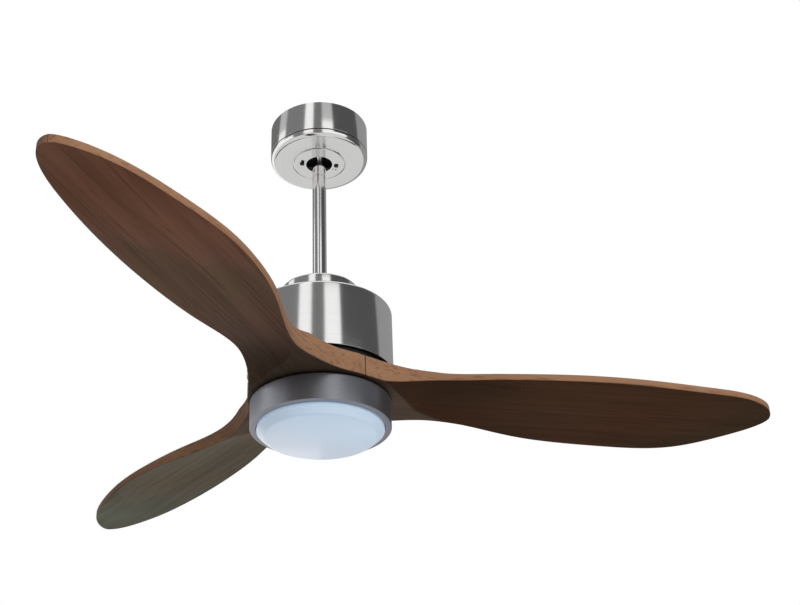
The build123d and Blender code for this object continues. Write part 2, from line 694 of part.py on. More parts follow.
# pan: spun ring with a closed top and an inner lip that holds the diffuser's lugs
lip_inner = diffuser_r + 1
lip_thick = 1.5
pan_floor_z = lamp_top_z - lamp_wall
with BuildPart() as light_pan:
    with BuildSketch(Plane.XZ):
        with BuildLine():
            edge = 3
            bevel = 1.2
            Polyline((pan_hole_r, lamp_top_z), (lamp_r - edge, lamp_top_z))
            RadiusArc((lamp_r - edge, lamp_top_z), (lamp_r, lamp_top_z - edge), edge)
            Polyline((lamp_r, lamp_top_z - edge), (lamp_r, lamp_bottom_z + bevel),
                     (lamp_r - bevel, lamp_bottom_z), (lip_inner, lamp_bottom_z),
                     (lip_inner, lamp_bottom_z + lip_thick), (lamp_r - lamp_wall, lamp_bottom_z + lip_thick),
                     (lamp_r - lamp_wall, lamp_top_z - edge))
            RadiusArc((lamp_r - lamp_wall, lamp_top_z - edge), (lamp_r - edge, lamp_top_z - lamp_wall),
                      -(edge - lamp_wall))
            Polyline((lamp_r - edge, lamp_top_z - lamp_wall), (pan_hole_r, lamp_top_z - lamp_wall), (pan_hole_r, lamp_top_z))
        make_face()
    revolve(axis=Axis.Z)
    with Locations(*on_ring(pan_screw_ring_r, pan_screw_angles, lamp_top_z)):
        Hole(pan_screw_r + screw_clear, depth=2 * lamp_wall)
    # notches that let the lugs in when the diffuser is turned to its release
    with BuildSketch(Plane.XY.offset(lamp_bottom_z)):
        for k in range(lug_count):
            middle = 30 + 360 / lug_count * k + twist_to_release
            SlotArc(CenterArc((0, 0), lip_inner + lug_reach / 2 - 0.5, middle - lug_arc / 2, lug_arc),
                    lug_reach + 1)
    extrude(amount=lip_thick, mode=Mode.SUBTRACT)
keep(light_pan, "light_pan")

light_pan_screws = screws_at(on_ring(pan_screw_ring_r, pan_screw_angles, pan_floor_z), 3.6, 2.2, pan_screw_r, 3.8)
keep(light_pan_screws, "light_pan_screws")

board_z = pan_floor_z - spacer_height
with BuildPart() as board_spacers:
    with BuildSketch(Plane.XY.offset(board_z)):
        with PolarLocations(spacer_ring_r, 4, start_angle=45):
            RegularPolygon(spacer_r, 6)
            Circle(board_screw_r, mode=Mode.SUBTRACT)
    extrude(amount=spacer_height)
keep(board_spacers, "board_spacers")

with BuildPart() as led_board:
    with BuildSketch(Plane.XY.offset(board_z - board_thick)):
        Circle(board_r)
        Circle(6, mode=Mode.SUBTRACT)
        with PolarLocations(spacer_ring_r, 4, start_angle=45):
            Circle(board_screw_r, mode=Mode.SUBTRACT)
    extrude(amount=board_thick)
keep(led_board, "led_board")

with BuildPart() as led_chips:
    for ring in (1, 2, 3):
        with BuildSketch(Plane.XY.offset(board_z - board_thick - led_height)):
            with PolarLocations(ring * led_ring_step, 6 * ring):
                Rectangle(led_size, led_size)
        extrude(amount=led_height)
keep(led_chips, "led_chips")

board_screws = screws_at(on_ring(spacer_ring_r, spacer_angles, board_z - board_thick), 3, 1.8, board_screw_r, 8)
keep(board_screws, "board_screws")

with BuildPart() as led_driver:
    driver_x = pan_hole_r + driver_width / 2
    driver_z = pan_floor_z - driver_height / 2
    with Locations((driver_x, 0, driver_z)):
        Box(driver_width, driver_length, driver_height)
    fillet(led_driver.edges().filter_by(Axis.Z), 3)
    with Locations((driver_x, driver_length / 2, driver_z), (driver_x, -driver_length / 2, driver_z)):
        Box(14, 3, 8, mode=Mode.SUBTRACT)
keep(led_driver, "led_driver")

# diffuser: opal bowl with a crowned bottom and three bayonet lugs
edge_z = lamp_bottom_z - diffuser_side
crown_z = edge_z - diffuser_crown
rim_z = lamp_bottom_z + 7


crown_radius = (diffuser_edge_r ** 2 + diffuser_crown ** 2) / (2 * diffuser_crown)
side_slope = (diffuser_r - diffuser_edge_r) / (diffuser_side - 3)


def bowl(inset, top):
    """Solid of the bowl, drawn in by a distance all round: tapered side, crowned bottom, round edge."""
    side_r = diffuser_r - inset
    foot_r = diffuser_edge_r - inset - side_slope * diffuser_crown
    with BuildPart(mode=Mode.PRIVATE) as solid:
        with BuildSketch(Plane.XZ):
            with BuildLine():
                Polyline((0, crown_z), (0, top), (side_r, top), (side_r, lamp_bottom_z - 3), (foot_r, crown_z),
                         close=True)
            make_face()
        revolve(axis=Axis.Z)
        with Locations((0, 0, crown_z + crown_radius)):
            Sphere(crown_radius - inset, mode=Mode.INTERSECT)
        rings = solid.edges().filter_by(GeomType.CIRCLE).filter_by(lambda ring: ring.radius <= diffuser_r)
        fillet(rings.sort_by(Axis.Z)[0], 7 - inset)
    return solid.part


with BuildPart() as diffuser:
    add(bowl(0, rim_z))
    add(bowl(diffuser_wall, rim_z + 1), mode=Mode.SUBTRACT)
    lug_low = lamp_bottom_z + lip_thick + rest_gap
    with BuildSketch(Plane.XY.offset(lug_low)):
        for k in range(lug_count):
            with BuildSketch(mode=Mode.PRIVATE) as lug:
                with BuildLine():
                    start = 30 + 360 / lug_count * k - lug_arc / 2 + 4
                    inner = CenterArc((0, 0), diffuser_r - 1, start, lug_arc - 8)
                    outer = CenterArc((0, 0), diffuser_r + lug_reach, start, lug_arc - 8)
                    Line(inner @ 0, outer @ 0)
                    Line(inner @ 1, outer @ 1)
                make_face()
            add(lug.sketch)
    extrude(amount=lug_thick)
keep(diffuser, "diffuser")
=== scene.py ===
import math

import bmesh
import bpy
import numpy as np
from mathutils import Matrix, Vector


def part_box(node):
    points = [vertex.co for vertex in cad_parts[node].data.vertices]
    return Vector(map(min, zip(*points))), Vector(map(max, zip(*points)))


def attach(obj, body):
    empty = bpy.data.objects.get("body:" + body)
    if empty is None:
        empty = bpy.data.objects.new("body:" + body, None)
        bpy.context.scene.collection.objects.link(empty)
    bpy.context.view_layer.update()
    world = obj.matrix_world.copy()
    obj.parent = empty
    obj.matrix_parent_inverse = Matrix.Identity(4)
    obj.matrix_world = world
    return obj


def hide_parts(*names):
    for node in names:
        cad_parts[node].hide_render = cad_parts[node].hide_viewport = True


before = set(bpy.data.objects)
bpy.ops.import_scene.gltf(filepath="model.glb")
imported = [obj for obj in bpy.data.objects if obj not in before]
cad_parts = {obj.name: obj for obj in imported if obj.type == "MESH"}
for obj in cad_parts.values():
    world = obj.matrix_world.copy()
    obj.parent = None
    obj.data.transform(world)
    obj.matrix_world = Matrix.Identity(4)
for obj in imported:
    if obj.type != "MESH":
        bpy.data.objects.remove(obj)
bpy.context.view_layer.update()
mm = 0.001
mergeDistance = 1e-7
sharpAngle = 30     # degrees; shading breaks at edges sharper than this


def lowest(node):
    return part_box(node)[0][2]


def highest(node):
    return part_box(node)[1][2]


def reach(node):
    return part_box(node)[1][0]


# A grid of points (rows, columns, 3) joined into quads; each way can close on itself, open ends can be capped
def gridMesh(name, points, closeRows, closeColumns, capEnds=False):
    rows, columns = points.shape[:2]
    i = np.arange(rows if closeRows else rows - 1)[:, None]
    j = np.arange(columns if closeColumns else columns - 1)[None, :]
    nextRow, nextColumn = (i + 1) % rows, (j + 1) % columns
    corners = (i * columns + j, i * columns + nextColumn, nextRow * columns + nextColumn, nextRow * columns + j)
    faces = np.stack(np.broadcast_arrays(*corners), axis=-1).reshape(-1, 4).tolist()
    if capEnds:
        faces.append(list(range(columns))[::-1])
        faces.append(list(range((rows - 1) * columns, rows * columns)))
    mesh = bpy.data.meshes.new(name)
    mesh.from_pydata(points.reshape(-1, 3).tolist(), [], faces)
    piece = bpy.data.objects.new(name, mesh)
    bpy.context.scene.collection.objects.link(piece)
    return piece


# Doubles merged, faces turned outwards, smooth shading that breaks at edges sharper than the angle
def finishMesh(piece, angle=sharpAngle):
    work = bmesh.new()
    work.from_mesh(piece.data)
    bmesh.ops.remove_doubles(work, verts=work.verts, dist=mergeDistance)
    bmesh.ops.recalc_face_normals(work, faces=work.faces)
    work.to_mesh(piece.data)
    work.free()
    piece.data.polygons.foreach_set("use_smooth", np.ones(len(piece.data.polygons), dtype=bool))
    piece.data.set_sharp_from_angle(angle=math.radians(angle))
    return piece


# One corner of an outline turned into an arc of radius r that touches both of its sides
def cornerArc(before, here, after, r, steps):
    a = (before - here) / np.linalg.norm(before - here)
    b = (after - here) / np.linalg.norm(after - here)
    half = math.acos(np.clip(np.dot(a, b), -1, 1)) / 2
    centre = here + (a + b) / np.linalg.norm(a + b) * r / math.sin(half)
    start = here + a * r / math.tan(half) - centre
    end = here + b * r / math.tan(half) - centre
    first = math.atan2(start[1], start[0])
    turn = (math.atan2(end[1], end[0]) - first + math.pi) % (2 * math.pi) - math.pi
    t = first + turn * np.linspace(0, 1, steps + 1)
    return centre + r * np.stack([np.cos(t), np.sin(t)], axis=1)


# Closed outline from corners (x, y, r), each rounded by its own radius r
def roundedOutline(corners, steps=6):
    corners = np.array(corners, dtype=float)
    spots = corners[:, :2]
    parts = []
    for k, r in enumerate(corners[:, 2]):
        if r > 0:
            parts.append(cornerArc(spots[k - 1], spots[k], spots[(k + 1) % len(spots)], r, steps))
        else:
            parts.append(spots[k:k + 1])
    return np.vstack(parts)


# Closed outline of (r, z) carried round the upright axis: x = r cos a, y = r sin a
def turnedMesh(name, outline, around=288):
    a = np.linspace(0, 2 * math.pi, around, endpoint=False)[:, None]
    r, z = outline[None, :, 0], outline[None, :, 1]
    points = np.stack(np.broadcast_arrays(r * np.cos(a), r * np.sin(a), z), axis=-1)
    return finishMesh(gridMesh(name, points, True, True))


# The piece stands for a CAD node, rides on that node's body and takes its finish from a slot
def standFor(piece, node, body, material):
    piece.data.materials.append(material)
    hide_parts(node)
    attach(piece, body)


def newMaterial(name):
    material = bpy.data.materials.new(name)
    material.use_nodes = True
    tree = material.node_tree
    return material, tree, tree.nodes["Principled BSDF"]


def objectPlace(tree):
    return tree.nodes.new("ShaderNodeTexCoord").outputs["Object"]


def pointValue(tree, name):
    node = tree.nodes.new("ShaderNodeAttribute")
    node.attribute_name = name
    return node.outputs["Fac"]


def mathNode(tree, operation, *values):
    node = tree.nodes.new("ShaderNodeMath")
    node.operation = operation
    for k, value in enumerate(values):
        if isinstance(value, (int, float)):
            node.inputs[k].default_value = value
        else:
            tree.links.new(value, node.inputs[k])
    return node.outputs[0]


def mapped(tree, vector, scale=(1, 1, 1), turn=0.0, shift=(0, 0, 0)):
    node = tree.nodes.new("ShaderNodeMapping")
    node.inputs["Scale"].default_value = scale
    node.inputs["Rotation"].default_value = (0, 0, math.radians(turn))
    node.inputs["Location"].default_value = shift
    tree.links.new(vector, node.inputs["Vector"])
    return node.outputs[0]


def noise(tree, vector, scale, detail=3.0, rough=0.55):
    node = tree.nodes.new("ShaderNodeTexNoise")
    node.inputs["Scale"].default_value = scale
    node.inputs["Detail"].default_value = detail
    node.inputs["Roughness"].default_value = rough
    tree.links.new(vector, node.inputs["Vector"])
    return node.outputs[0]


def ramp(tree, factor, *stops):
    node = tree.nodes.new("ShaderNodeValToRGB")
    tree.links.new(factor, node.inputs[0])
    elements = node.color_ramp.elements
    while len(elements) < len(stops):
        elements.new(0.5)
    for element, (place, colour) in zip(elements, stops):
        element.position = place
        element.color = (*colour, 1)
    return node.outputs[0]


def mixed(tree, factor, first, second, blend="MIX"):
    node = tree.nodes.new("ShaderNodeMix")
    node.data_type = "RGBA"
    node.blend_type = blend
    for socket, value in ((0, factor), (6, first), (7, second)):
        if isinstance(value, (int, float)):
            node.inputs[socket].default_value = value
        else:
            tree.links.new(value, node.inputs[socket])
    return node.outputs[2]


def bumped(tree, shader, height, strength, distance):
    node = tree.nodes.new("ShaderNodeBump")
    node.inputs["Strength"].default_value = strength
    node.inputs["Distance"].default_value = distance
    tree.links.new(height, node.inputs["Height"])
    tree.links.new(node.outputs[0], shader.inputs["Normal"])


def shaded(colour, by):
    return tuple(c * by for c in colour)


# One colour, lighter and darker along a noise: each stop is a place on the noise and a share of the colour
def toned(tree, factor, colour, stops):
    return ramp(tree, factor, *[(place, shaded(colour, share)) for place, share in stops])


# Roughness that follows a noise: middle + spread (noise - 1/2)
def roughened(tree, shader, factor, middle, spread):
    rough = mathNode(tree, "MULTIPLY_ADD", factor, spread, middle - spread / 2)
    tree.links.new(rough, shader.inputs["Roughness"])


def setSockets(shader, values):
    for socket, value in values.items():
        shader.inputs[socket].default_value = value


def xyzOf(tree, vector):
    split = tree.nodes.new("ShaderNodeSeparateXYZ")
    tree.links.new(vector, split.inputs[0])
    return split.outputs


nickelLook = {
    "colour": (0.86, 0.855, 0.85), "tones": ((0.25, 0.95), (0.75, 1.04)), "rough": 0.13, "roughSpread": 0.05,
    "linesPerMetre": 900.0, "driftPerMetre": 6.0, "detail": 4.0, "bump": 0.12, "lineDepth": 0.02 * mm,
    "sockets": {"Metallic": 1.0, "Anisotropic": 0.3},
}


# Fine turned lines: noise on radius and height alone runs round the axis, with a slow drift across
def brushedNickel():
    look = nickelLook
    material, tree, shader = newMaterial("brushedNickel")
    x, y, z = xyzOf(tree, objectPlace(tree))
    squares = mathNode(tree, "ADD", mathNode(tree, "MULTIPLY", x, x), mathNode(tree, "MULTIPLY", y, y))
    radius = mathNode(tree, "SQRT", squares)
    join = tree.nodes.new("ShaderNodeCombineXYZ")
    tree.links.new(mathNode(tree, "MULTIPLY", radius, look["linesPerMetre"]), join.inputs[0])
    tree.links.new(mathNode(tree, "MULTIPLY", z, look["linesPerMetre"]), join.inputs[1])
    tree.links.new(mathNode(tree, "MULTIPLY", mathNode(tree, "ADD", x, y), look["driftPerMetre"]), join.inputs[2])
    lines = noise(tree, join.outputs[0], 1.0, look["detail"])
    tree.links.new(toned(tree, lines, look["colour"], look["tones"]), shader.inputs["Base Color"])
    roughened(tree, shader, lines, look["rough"], look["roughSpread"])
    setSockets(shader, look["sockets"])
    tangent = tree.nodes.new("ShaderNodeTangent")
    tangent.direction_type = "RADIAL"
    tangent.axis = "Z"
    tree.links.new(tangent.outputs[0], shader.inputs["Tangent"])
    bumped(tree, shader, lines, look["bump"], look["lineDepth"])
    return material


gunmetalLook = {
    "colour": (0.31, 0.315, 0.35), "tones": ((0.3, 0.85), (0.7, 1.2)), "rough": 0.36, "roughSpread": 0.06,
    "grain": 1800.0, "detail": 2.0, "bump": 0.15, "grainDepth": 0.05 * mm,
    "sockets": {"Metallic": 0.9, "Coat Weight": 0.08, "Coat Roughness": 0.2},
}


def gunmetal():
    look = gunmetalLook
    material, tree, shader = newMaterial("gunmetal")
    grains = noise(tree, objectPlace(tree), look["grain"], look["detail"])
    tree.links.new(toned(tree, grains, look["colour"], look["tones"]), shader.inputs["Base Color"])
    roughened(tree, shader, grains, look["rough"], look["roughSpread"])
    setSockets(shader, look["sockets"])
    bumped(tree, shader, grains, look["bump"], look["grainDepth"])
    return material


opalLook = {
    "colour": (0.62, 0.69, 0.76), "paintedWarmReflection": (0.60, 0.52, 0.49), "stops": (0.3, 0.7), "rough": 0.3, "roughSpread": 0.06,
    # the tone is level + a slope along x and y + cloudShare cloud; the slope is a painted reflection, bluish towards
    # -y and warm towards +y
    "level": 0.48, "reflectionAlongX": 1.6, "reflectionAlongY": -2.6, "cloudShare": 0.1, "cloud": 14.0, "detail": 2.0,
    # the emission stands for the light left in the milky plastic
    "sockets": {"Subsurface Weight": 0.35, "Subsurface Scale": 12 * mm, "Subsurface Radius": (1.0, 1.0, 1.0),
                "Coat Weight": 0.6, "Coat Roughness": 0.1,
                "Emission Color": (0.17, 0.245, 0.33, 1), "Emission Strength": 1.0},
}


# Milky plastic: light goes a little way in; a painted reflection tints the bowl from warm to bluish across it, with a
# faint slow cloudiness
def opalAcrylic():
    look = opalLook
    material, tree, shader = newMaterial("opalAcrylic")
    cloud = noise(tree, objectPlace(tree), look["cloud"], look["detail"])
    x, y = xyzOf(tree, objectPlace(tree))[:2]
    # painted reflection: the tone slopes across the bowl, warm towards +y and bluish towards -y
    across = mathNode(tree, "MULTIPLY_ADD", x, look["reflectionAlongX"], mathNode(tree, "MULTIPLY", y, look["reflectionAlongY"]))
    clouded = mathNode(tree, "MULTIPLY_ADD", cloud, look["cloudShare"], look["level"])
    drift = mathNode(tree, "ADD", across, clouded)
    first, last = look["stops"]
    tree.links.new(ramp(tree, drift, (first, look["paintedWarmReflection"]), (last, look["colour"])), shader.inputs["Base Color"])
    roughened(tree, shader, cloud, look["rough"], look["roughSpread"])
    setSockets(shader, look["sockets"])
    return material


walnutLook = {
    # noises: scale, detail, roughness
    "growth": (9.0, 3.0, 0.5), "fibre": (34.0, 8.0, 0.62), "pore": (230.0, 3.0, 0.6), "drift": (5.0, 2.0, 0.5),
    # how the noises are drawn out along the blade
    "stretch": (0.045, 1.0, 1.3), "streak": (0.02, 1.0, 1.0), "wide": (0.6, 1.0, 1.0),
    # stops: place on the noise, colour or share of the colour
    "figure": ((0.38, (0.120, 0.055, 0.033)), (0.5, (0.155, 0.073, 0.045)), (0.64, (0.190, 0.092, 0.058))),
    "tints": ((0.40, (0.74, 0.90, 0.82)), (0.5, (1, 1, 1)), (0.62, (1.0, 0.88, 0.72))),
    "lighterWallTones": ((0.38, (0.285, 0.152, 0.086)), (0.6, (0.325, 0.178, 0.103))),
    "planed": (0.100, 0.066, 0.045), "planedTones": ((0.38, 0.85), (0.6, 1.0)),
    "pits": ((0.36, (0.5, 0.46, 0.44)), (0.47, (1, 1, 1))), "pitShare": 0.55, "pitDepth": 0.15 * mm, "bump": 0.3,
    # distances from the axis between which a board's colour changes: its own tone, with painted shade darkening it
    # near the hub
    "hubShadeFrom": 0.15, "hubShadeTo": 0.33,
    "rough": 0.6, "roughSpread": -0.14, "sockets": {"Specular IOR Level": 0.10},
}
# each blade is cut from its own board: its colour near the hub and farther out, which is the board's own tone and,
# where darker near the hub, painted shade; and where its grain starts
boards = [{"near": (0.36, 0.26, 0.15), "far": (0.44, 0.38, 0.26), "start": (0, 0, 0)},
          {"near": (0.62, 1.02, 1.08), "far": (0.52, 0.92, 1.00), "start": (0.37, 0.21, 0)},
          {"near": (0.55, 0.55, 0.56), "far": (1.08, 1.04, 1.04), "start": (0.74, 0.42, 0)}]


# Growth layers and fibres run along the blade, with short dark pores and slow red and green drifts of colour
def walnut(name, turn, board):
    look = walnutLook
    material, tree, shader = newMaterial(name)
    along = mapped(tree, objectPlace(tree), turn=-turn, shift=board["start"])
    drawn = mapped(tree, along, look["stretch"])
    growth = noise(tree, drawn, *look["growth"])
    fibre = noise(tree, drawn, *look["fibre"])
    pore = noise(tree, mapped(tree, along, look["streak"]), *look["pore"])
    drift = noise(tree, mapped(tree, along, look["wide"]), *look["drift"])
    figure = mathNode(tree, "MULTIPLY_ADD", growth, 0.5, mathNode(tree, "MULTIPLY", fibre, 0.5))
    face = ramp(tree, figure, *look["figure"])
    face = mixed(tree, 1.0, face, ramp(tree, drift, *look["tints"]), "MULTIPLY")
    # painted shade near the hub over each board's own tone: the colour changes with distance from the axis
    distance = tree.nodes.new("ShaderNodeVectorMath")
    distance.operation = "LENGTH"
    tree.links.new(mapped(tree, objectPlace(tree), (1, 1, 0)), distance.inputs[0])
    toneWithHubShade = ramp(tree, distance.outputs["Value"], (look["hubShadeFrom"], board["near"]), (look["hubShadeTo"], board["far"]))
    face = mixed(tree, 1.0, face, toneWithHubShade, "MULTIPLY")
    planed = toned(tree, fibre, look["planed"], look["planedTones"])
    face = mixed(tree, pointValue(tree, "planedHub"), face, planed)
    # the walls and rounded corners of the blade take a lighter colour
    wood = mixed(tree, pointValue(tree, "lighterWallTone"), face, ramp(tree, fibre, *look["lighterWallTones"]))
    wood = mixed(tree, look["pitShare"], wood, ramp(tree, pore, *look["pits"]), "MULTIPLY")
    tree.links.new(wood, shader.inputs["Base Color"])
    roughened(tree, shader, fibre, look["rough"], look["roughSpread"])
    setSockets(shader, look["sockets"])
    bumped(tree, shader, pore, look["bump"], look["pitDepth"])
    return material


# finishes of the parts inside: colour, share of the darker tone, metal, roughness, grain, depth of grain in mm
innerLooks = {
    "zincSheet": ((0.55, 0.55, 0.54), 0.78, 1.0, 0.35, 120.0, 0.01),
    "blackCoatAndShade": ((0.012, 0.012, 0.013), 0.6, 0.0, 0.55, 900.0, 0.04),
    "blackNylon": ((0.014, 0.014, 0.015), 0.7, 0.0, 0.48, 600.0, 0.03),
    "bareScrew": ((0.62, 0.61, 0.59), 0.8, 1.0, 0.28, 1500.0, 0.01),
    "coatedSteel": ((0.05, 0.05, 0.052), 0.7, 0.5, 0.4, 500.0, 0.02),
    "groundSteel": ((0.50, 0.50, 0.50), 0.85, 1.0, 0.22, 1400.0, 0.01),
    "laminations": ((0.26, 0.26, 0.27), 0.6, 0.8, 0.5, 1100.0, 0.05),
    "enamelledCopper": ((0.45, 0.15, 0.05), 0.6, 0.9, 0.3, 700.0, 0.15),
    "ferrite": ((0.05, 0.05, 0.052), 0.7, 0.2, 0.6, 800.0, 0.05),
    "brass": ((0.62, 0.43, 0.16), 0.85, 1.0, 0.28, 900.0, 0.01),
    "boardLacquer": ((0.80, 0.80, 0.80), 0.93, 0.0, 0.38, 300.0, 0.02),
    "phosphor": ((0.82, 0.66, 0.15), 0.85, 0.0, 0.35, 1200.0, 0.03),
    "driverCase": ((0.75, 0.75, 0.73), 0.9, 0.0, 0.5, 500.0, 0.03),
}
innerGrain = {"detail": 3.0, "stops": (0.3, 0.7), "roughSpread": 0.1, "bump": 0.3}      # the same for all of them


def innerFinish(name):
    colour, darker, metal, rough, scale, depth = innerLooks[name]
    first, last = innerGrain["stops"]
    material, tree, shader = newMaterial(name)
    grain = noise(tree, objectPlace(tree), scale, innerGrain["detail"])
    tree.links.new(toned(tree, grain, colour, ((first, darker), (last, 1.0))), shader.inputs["Base Color"])
    roughened(tree, shader, grain, rough, innerGrain["roughSpread"])
    setSockets(shader, {"Metallic": metal})
    bumped(tree, shader, grain, innerGrain["bump"], depth * mm)
    return material


nickel = brushedNickel()
dressedNodes = {
    "zincSheet": ["light_plate", "blade_clamp_plate"],
    # the hanger bracket's black is partly painted shade, for the dark seen up through the canopy's hole
    "blackCoatAndShade": ["hanger_bracket", "rotor_bell", "rotor_base", "canopy_screws"],
    "blackNylon": ["terminal_block", "hanger_ball"],
    "bareScrew": ["ball_set_screw", "cross_pin", "coupling_pin", "cotter_clip", "coupling_set_screws",
                  "housing_screws", "shaft_nuts", "light_pan_screws", "bell_screws", "blade_screws", "board_screws"],
    "coatedSteel": ["motor_coupling"],
    "groundSteel": ["motor_shaft", "upper_bearing_inner", "upper_bearing_outer", "lower_bearing_inner",
                    "lower_bearing_outer"],
    "laminations": ["stator_core"],
    "enamelledCopper": ["stator_windings"],
    "ferrite": ["magnet_ring"],
    "brass": ["board_spacers"],
    "boardLacquer": ["led_board"],
    "phosphor": ["led_chips"],
    "driverCase": ["led_driver"],
}


def dressNode(node, material):
    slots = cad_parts[node].data.materials
    slots.clear()
    slots.append(material)


for finish, dressed in dressedNodes.items():
    material = innerFinish(finish)
    for node in dressed:
        dressNode(node, material)
dressNode("canopy_cover", nickel)
print("finishes on the CAD nodes")


canopyShape = {
    "hole": 22 * mm, "sheet": 1.2 * mm, "topEdge": 0.4 * mm, "holeEdge": 0.3 * mm, "innerCorner": 4 * mm,
    "grooveTop": 49.5 * mm, "grooveWidth": 2 * mm, "grooveDepth": 1.2 * mm, "grooveEdge": 0.35 * mm,
    "footIn": 8 * mm, "footSteps": 16,
    # shadow line pressed into the floor round the cover
    "lineIn": 40.3 * mm, "lineOut": 41.7 * mm, "lineDepth": 0.8 * mm, "lineEdge": 0.2 * mm,
}


# Cup with a groove round its wall; below the groove a quarter ellipse turns the wall into the floor
def buildCanopy():
    shape = canopyShape
    r, top, floor = reach("canopy"), highest("canopy"), lowest("canopy")
    t = shape["sheet"]
    grooveTop = top - shape["grooveTop"]
    grooveLow = grooveTop - shape["grooveWidth"]
    inner = r - shape["grooveDepth"]
    turn = np.linspace(0, math.pi / 2, shape["footSteps"] + 1)
    footR = r + shape["footIn"] * (np.cos(turn) - 1)
    footZ = grooveLow - (grooveLow - floor) * np.sin(turn)
    foot = np.stack([footR, footZ], axis=1)
    lineTop = floor + shape["lineDepth"]
    upper = roundedOutline([
        (r - t, top, 0), (r, top, shape["topEdge"]), (r, grooveTop, shape["grooveEdge"]), (inner, grooveTop, 0),
        (inner, grooveLow, 0)])
    lower = roundedOutline([
        (foot[-1, 0], floor, 0), (shape["lineOut"], floor, shape["lineEdge"]), (shape["lineOut"], lineTop, 0),
        (shape["lineIn"], lineTop, 0), (shape["lineIn"], floor, shape["lineEdge"]),
        (shape["hole"], floor, shape["holeEdge"]), (shape["hole"], floor + t, 0),
        (r - shape["footIn"], floor + t, shape["innerCorner"]), (inner - t, grooveLow, 0),
        (inner - t, grooveTop + t, 0), (r - t, grooveTop + t, 0)])
    shell = turnedMesh("canopyShell", np.vstack([upper, foot[:-1], lower]))
    standFor(shell, "canopy", "ceiling", nickel)
    # painted shade inside the shell, in its groove and round the cover
    shadeInsideBlack(shell, inner - shape["lineDepth"], grooveLow, grooveTop)


# Painted shade: faces that look at the axis, up from the floor of the shell, or out of the groove are black, for the
# shade inside the cup, in its groove and in the line round the cover
def shadeInsideBlack(shell, rim, grooveLow, grooveTop):
    lean, slack = 0.3, 0.01 * mm
    faces = shell.data.polygons
    centres, normals = (np.empty(len(faces) * 3) for k in range(2))
    faces.foreach_get("center", centres)
    faces.foreach_get("normal", normals)
    centres, normals = centres.reshape(-1, 3), normals.reshape(-1, 3)
    away = np.hypot(centres[:, 0], centres[:, 1])
    inward = (centres[:, :2] * normals[:, :2]).sum(axis=1) < -lean * away
    upward = (normals[:, 2] > lean) & (away < rim)
    grooved = (centres[:, 2] > grooveLow - slack) & (centres[:, 2] < grooveTop + slack)
    shell.data.materials.append(bpy.data.materials["blackCoatAndShade"])
    faces.foreach_set("material_index", (inward | upward | grooved).astype(np.int32))


rodShape = {"wall": 2.3 * mm, "edge": 0.5 * mm, "around": 96}


def buildRod():
    shape = rodShape
    r, top, foot = reach("downrod"), highest("downrod"), lowest("downrod")
    bore = r - shape["wall"]
    outline = roundedOutline([(r, foot, 0), (r, top, shape["edge"]), (bore, top, 0), (bore, foot, 0)])
    standFor(turnedMesh("rodTube", outline, shape["around"]), "downrod", "hanging", nickel)


# spun cups with the mouth down: edge at the top, hole in the top, lip turned in at the mouth
cupShapes = {
    "coupling_cover": {"piece": "couplingCap", "edge": 4 * mm, "hole": 11.25 * mm, "lip": 0},
    "motor_housing": {"piece": "motorDrum", "edge": 5 * mm, "hole": 17 * mm, "lip": 2.5 * mm},
}
cupSheet = {"thick": 1.2 * mm, "mouthEdge": 0.25 * mm, "lipHeight": 1 * mm}


def buildCup(node):
    shape = cupShapes[node]
    r, top, foot = reach(node), highest(node), lowest(node)
    t, edge = cupSheet["thick"], shape["edge"]
    corners = [(r, foot, cupSheet["mouthEdge"]), (r, top, edge), (shape["hole"], top, 0),
               (shape["hole"], top - t, 0), (r - t, top - t, edge - t)]
    if shape["lip"]:
        lipTop = foot + cupSheet["lipHeight"]
        corners += [(r - t, lipTop, 0), (r - shape["lip"], lipTop, 0), (r - shape["lip"], foot, 0)]
    else:
        corners += [(r - t, foot, 0)]
    standFor(turnedMesh(shape["piece"], roundedOutline(corners)), node, "hanging", nickel)


panShape = {"edge": 3 * mm, "wall": 1.5 * mm, "hole": 20 * mm, "bevel": 1.2 * mm, "bevelInner": 0.2 * mm,
            "bevelOuter": 0.3 * mm, "lipInner": 92 * mm, "lipThick": 1.5 * mm, "lipTopEdge": 0.2 * mm,
            "lipLowEdge": 0.3 * mm}


def buildPan():
    shape = panShape
    r, top, foot = reach("light_pan"), highest("light_pan"), lowest("light_pan")
    t, bevel, lipTop = shape["wall"], shape["bevel"], foot + shape["lipThick"]
    outline = roundedOutline([
        (shape["hole"], top, 0), (shape["hole"], top - t, 0), (r - t, top - t, shape["edge"] - t), (r - t, lipTop, 0),
        (shape["lipInner"], lipTop, shape["lipTopEdge"]), (shape["lipInner"], foot, shape["lipLowEdge"]),
        (r - bevel, foot, shape["bevelInner"]), (r, foot + bevel, shape["bevelOuter"]), (r, top, shape["edge"])])
    standFor(turnedMesh("lampRingShell", outline), "light_pan", "hanging", gunmetal())


bowlShape = {
    "rim": 91 * mm, "foot": 80 * mm, "side": 12.5 * mm, "straight": 3 * mm, "crown": 5 * mm, "corner": 7 * mm,
    "wall": 2 * mm, "band": 1 * mm, "crownSteps": 48, "cornerSteps": 12,
    "lugs": 3, "firstLug": 30, "lugSpan": 16, "lugSteps": 12, "lugRoot": 1 * mm, "lugReach": 4.2 * mm,
    "lugRest": 1.8 * mm, "lugHeight": 3.5 * mm,
}


